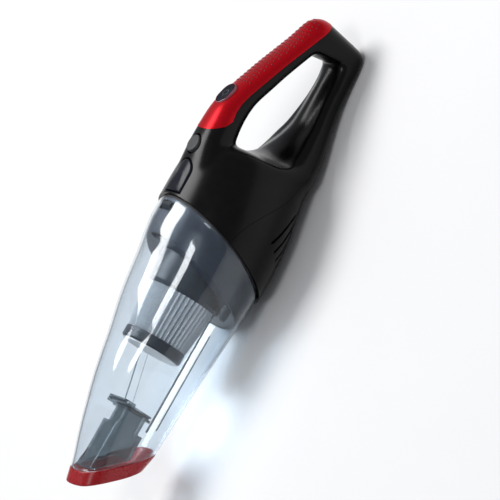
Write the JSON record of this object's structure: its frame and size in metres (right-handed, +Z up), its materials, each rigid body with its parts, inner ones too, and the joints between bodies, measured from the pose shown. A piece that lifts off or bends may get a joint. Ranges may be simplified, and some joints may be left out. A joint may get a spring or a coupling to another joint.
{
  "type": "handheld vacuum",
  "caption": "Cordless handheld vacuum: loop handle with a grip trim, round motor housing, clear dust cup with a pleated filter, slanted nozzle.",
  "frame": {"origin": "bottom centre of the vacuum as it lies on its belly", "axes": "+X towards the nozzle, +Y to the left side, +Z up to the button side"},
  "size_m": [0.3971, 0.1034, 0.1029],
  "materials": {
    "black_plastic": "satin gloss moulded black",
    "board_green": "circuit board",
    "brass": "plain brass",
    "button_black": "glossy navy black",
    "cell_jacket": "shrink wrapped cell",
    "clear_plastic": "clear polycarbonate",
    "copper": "wound copper",
    "dark_plastic": "matte dark grey",
    "foam": "open cell foam",
    "icon_grey": "printed pale grey",
    "light_ring": "frosted light ring",
    "magnet": "dark ferrite",
    "nozzle_red": "satin red",
    "pleated_paper": "pleated white filter paper",
    "red_trim": "satin metallic red",
    "rubber": "matt black rubber",
    "slate_plastic": "satin slate blue",
    "smoke_plastic": "smoky translucent",
    "steel": "bright steel",
    "white_plastic": "white moulded",
    "wire_black": "insulated wire",
    "wire_red": "insulated wire"
  },
  "bodies": {
    "housing": {"housing_left": "black_plastic", "housing_right": "black_plastic", "belly_cover": "black_plastic", "handle_trim": "red_trim", "neck_collar": "slate_plastic", "cup_gasket": "rubber", "filter_seat": "dark_plastic", "fan_housing": "white_plastic", "diffuser": "dark_plastic", "motor_can": "steel", "motor_magnets": "magnet", "motor_endbell": "dark_plastic", "motor_mount": "rubber", "exhaust_foam": "foam", "battery_cells": "cell_jacket", "battery_holder": "dark_plastic", "nickel_strips": "steel", "control_board": "board_green", "switch_board": "board_green", "power_switch": "dark_plastic", "power_bezel": "light_ring", "mode_board": "board_green", "charge_jack": "dark_plastic", "housing_screws": "steel", "latch_pin": "steel", "latch_spring": "steel", "motor_leads": "wire_red", "battery_leads": "wire_black", "switch_leads": "wire_black"},
    "rotor": {"rotor_shaft": "steel", "armature": "copper", "commutator": "copper", "impeller": "white_plastic", "impeller_nut": "brass"},
    "filter": {"filter_frame": "dark_plastic", "filter_pleats": "pleated_paper", "filter_core": "white_plastic", "filter_cap": "dark_plastic", "filter_seal": "rubber"},
    "power_key": {"power_button": "button_black", "power_icon": "icon_grey"},
    "mode_key": {"mode_button": "dark_plastic"},
    "latch": {"release_latch": "black_plastic", "latch_hook": "dark_plastic"},
    "cup": {"dust_cup": "clear_plastic", "nozzle_tip": "nozzle_red", "inlet_duct": "smoke_plastic", "duct_seal": "rubber", "flap_pin": "steel"},
    "flap": {"inlet_flap": "smoke_plastic"}
  },
  "joints": [
    {"name": "cup_release", "type": "slide", "parent": "housing", "child": "cup", "axis": [0.993, 0, 0.118], "range_m": [0, 0.13]},
    {"name": "flap_hinge", "type": "hinge", "parent": "cup", "child": "flap", "pos_m": [0.12619, 0, 0.07007], "axis": [0, 1, 0], "range_deg": [0, 60], "stiffness_Nm_per_rad": 0.004, "springref_deg": -17.19},
    {"name": "rotor_spin", "type": "hinge", "parent": "housing", "child": "rotor", "pos_m": [-0.04453, 0, 0.04747], "axis": [0.993, 0, 0.118], "continuous": true},
    {"name": "filter_twist", "type": "hinge", "parent": "housing", "child": "filter", "pos_m": [0.01504, 0, 0.05455], "axis": [0.993, 0, 0.118], "range_deg": [0, 20]},
    {"name": "power_press", "type": "slide", "parent": "housing", "child": "power_key", "axis": [0.371, 0, -0.9286], "range_m": [0, 0.0012], "stiffness_N_per_m": 900, "springref_m": -0.001},
    {"name": "mode_press", "type": "slide", "parent": "housing", "child": "mode_key", "axis": [0.118, 0, -0.993], "range_m": [0, 0.0015], "stiffness_N_per_m": 900, "springref_m": -0.001},
    {"name": "latch_press", "type": "hinge", "parent": "housing", "child": "latch", "pos_m": [-0.04978, 0, 0.09155], "axis": [0, 1, 0], "range_deg": [0, 6], "stiffness_Nm_per_rad": 0.6, "springref_deg": -5.73, "deforming": ["latch_spring"]}
  ]
}
